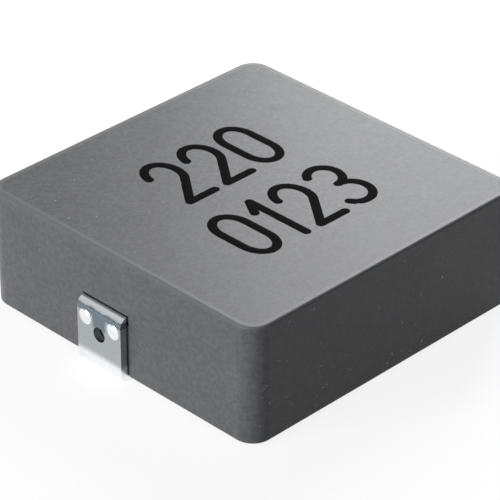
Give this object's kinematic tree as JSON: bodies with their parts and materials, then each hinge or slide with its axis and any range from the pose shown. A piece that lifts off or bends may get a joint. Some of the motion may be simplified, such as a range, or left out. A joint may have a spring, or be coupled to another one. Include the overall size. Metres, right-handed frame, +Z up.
{
  "type": "shielded smd inductor",
  "caption": "Moulded shielded surface-mount power inductor: a square block of pressed iron powder round a flat-wire coil, with two folded strip terminals and solder feet.",
  "frame": {"origin": "on the board under the middle of the body, at the height of the feet's undersides", "axes": "+X from the first terminal's side to the second's, +Y along the terminal sides towards which both terminals are offset, +Z up, away from the board"},
  "size_m": [0.0108, 0.0102, 0.0037],
  "materials": {
    "powder_composite": "unpainted pressed iron-powder composite, mid grey, fine powder mottling, slight sheen",
    "enamelled_copper": "flat copper wire under clear enamel",
    "tinned_copper": "bright matt tin plating on a copper strip",
    "marking_ink": "printed black ink, plain numerals"
  },
  "bodies": {
    "root": {"moulded_body": "powder_composite", "coil": "enamelled_copper", "first_terminal": "tinned_copper", "second_terminal": "tinned_copper"}
  },
  "joints": []
}
